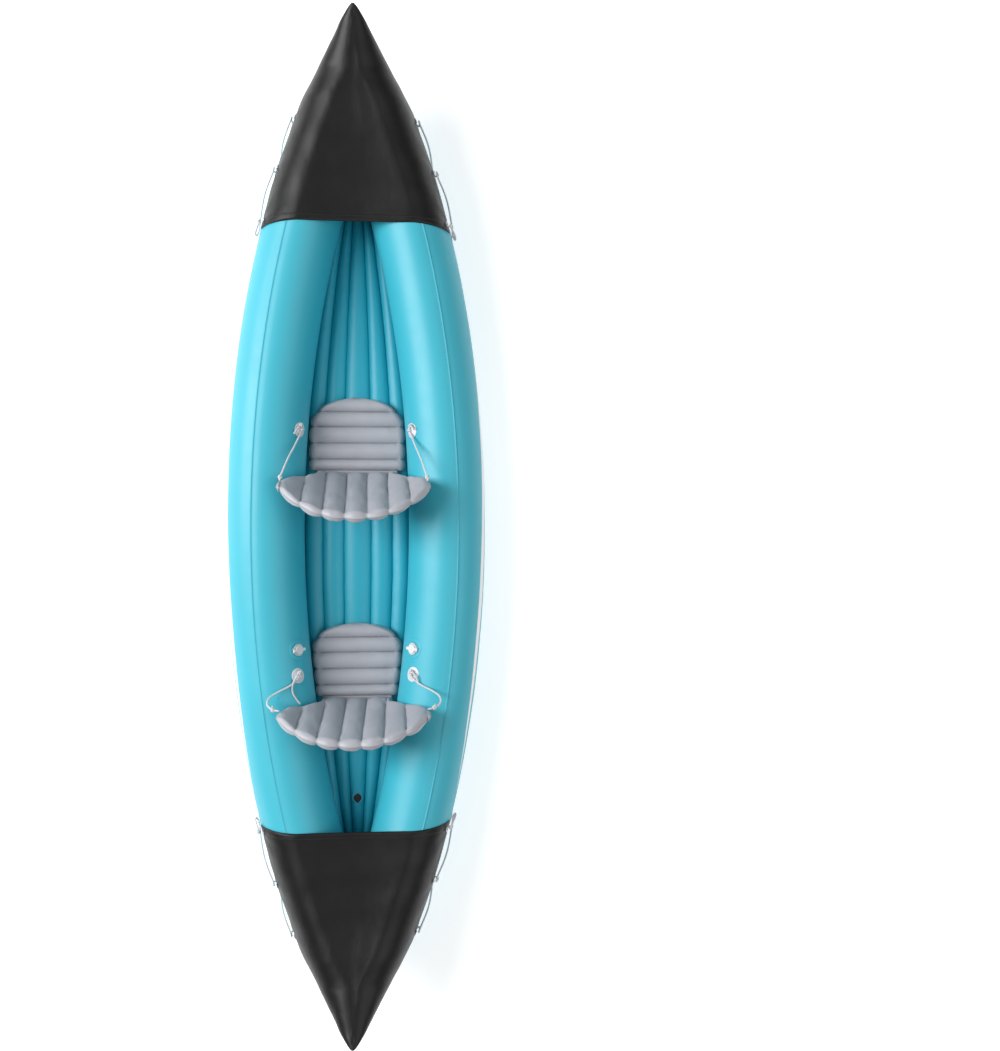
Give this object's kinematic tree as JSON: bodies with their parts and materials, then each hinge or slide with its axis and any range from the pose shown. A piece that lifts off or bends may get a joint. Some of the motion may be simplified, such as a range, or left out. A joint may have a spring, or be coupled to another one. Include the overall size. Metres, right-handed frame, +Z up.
{
  "type": "inflatable kayak",
  "caption": "Open-cockpit inflatable kayak with black spray covers at both ends, channelled floor, folding seat backs on ropes, and flip-cap air valves.",
  "frame": {"origin": "under the middle of the hull, on the ground", "axes": "+Y to the bow, +X to starboard, +Z up"},
  "size_m": [0.886, 3.3, 0.5331],
  "materials": {
    "hull_pvc": "inflated satin-gloss PVC",
    "floor_pvc": "inflated satin-gloss PVC",
    "skin_pvc": "glossy black PVC",
    "tape_pvc": "welded PVC strip",
    "cover_fabric": "coated black cloth",
    "eyelet_metal": "plain metal rings",
    "patch_pvc": "light grey welded PVC",
    "rope_fibre": "white braided cord",
    "seat_pvc": "satin grey PVC",
    "valve_rubber": "soft membrane",
    "valve_black": "black moulded plastic",
    "valve_grey": "light grey moulded plastic",
    "valve_white": "white moulded plastic"
  },
  "bodies": {
    "hull": {"port_side_chamber": "hull_pvc", "starboard_side_chamber": "hull_pvc", "floor_chamber": "floor_pvc", "bottom_skin": "skin_pvc", "bow_seam_tape": "tape_pvc", "stern_seam_tape": "tape_pvc", "bow_cover": "cover_fabric", "stern_cover": "cover_fabric", "bow_cover_eyelets": "eyelet_metal", "stern_cover_eyelets": "eyelet_metal", "bow_lacing_patches": "patch_pvc", "stern_lacing_patches": "patch_pvc", "seat_rope_patches": "patch_pvc", "bow_port_lacing_cord": "rope_fibre", "bow_starboard_lacing_cord": "rope_fibre", "stern_port_lacing_cord": "rope_fibre", "stern_starboard_lacing_cord": "rope_fibre", "front_seat_pan": "seat_pvc", "rear_seat_pan": "seat_pvc", "front_port_seat_rope": "rope_fibre", "front_starboard_seat_rope": "rope_fibre", "rear_port_seat_rope": "rope_fibre", "rear_starboard_seat_rope": "rope_fibre", "port_valve_base": "valve_grey", "port_valve_flap": "valve_rubber", "starboard_valve_base": "valve_grey", "starboard_valve_flap": "valve_rubber", "floor_valve_base": "valve_black", "floor_valve_flap": "valve_rubber", "drain_valve_base": "valve_grey", "drain_valve_flap": "valve_rubber"},
    "front_backrest": {"front_seat_back": "seat_pvc", "front_seat_valve_base": "valve_grey"},
    "rear_backrest": {"rear_seat_back": "seat_pvc", "rear_seat_valve_base": "valve_grey"},
    "port_valve_cap": {"port_valve_cap": "valve_white"},
    "starboard_valve_cap": {"starboard_valve_cap": "valve_white"},
    "floor_valve_cap": {"floor_valve_cap": "valve_black"},
    "drain_valve_cap": {"drain_valve_cap": "valve_white"},
    "front_seat_stopper": {"front_seat_valve_stopper": "valve_white"},
    "rear_seat_stopper": {"rear_seat_valve_stopper": "valve_white"}
  },
  "joints": [
    {"name": "front_seat_recline", "type": "hinge", "parent": "hull", "child": "front_backrest", "pos_m": [0, 0.188, 0.12], "axis": [-1, 0, 0], "range_deg": [0, 44], "deforming": ["front_port_seat_rope", "front_starboard_seat_rope"]},
    {"name": "rear_seat_recline", "type": "hinge", "parent": "hull", "child": "rear_backrest", "pos_m": [0, -0.597, 0.12], "axis": [-1, 0, 0], "range_deg": [-8, 26], "deforming": ["rear_port_seat_rope", "rear_starboard_seat_rope"]},
    {"name": "port_valve_open", "type": "hinge", "parent": "hull", "child": "port_valve_cap", "pos_m": [-0.20469, -0.41488, 0.27004], "axis": [0.0931, -0.9956, 0.014], "range_deg": [0, 150]},
    {"name": "starboard_valve_open", "type": "hinge", "parent": "hull", "child": "starboard_valve_cap", "pos_m": [0.20469, -0.41488, 0.27004], "axis": [0.0931, 0.9956, -0.014], "range_deg": [0, 150]},
    {"name": "floor_valve_open", "type": "hinge", "parent": "hull", "child": "floor_valve_cap", "pos_m": [0, -0.96645, 0.09713], "axis": [1, 0, 0], "range_deg": [0, 150]},
    {"name": "drain_valve_open", "type": "hinge", "parent": "hull", "child": "drain_valve_cap", "pos_m": [-0.20103, 1.1077, 0.03928], "axis": [0.9102, -0.2574, -0.3246], "range_deg": [0, 150]},
    {"name": "front_seat_valve_open", "type": "hinge", "parent": "front_backrest", "child": "front_seat_stopper", "pos_m": [0.06983, 0.12988, 0.21483], "axis": [0, -0.3907, 0.9205], "range_deg": [0, 150]},
    {"name": "rear_seat_valve_open", "type": "hinge", "parent": "rear_backrest", "child": "rear_seat_stopper", "pos_m": [0.06983, -0.63777, 0.22348], "axis": [0, -0.225, 0.9744], "range_deg": [0, 150]}
  ]
}
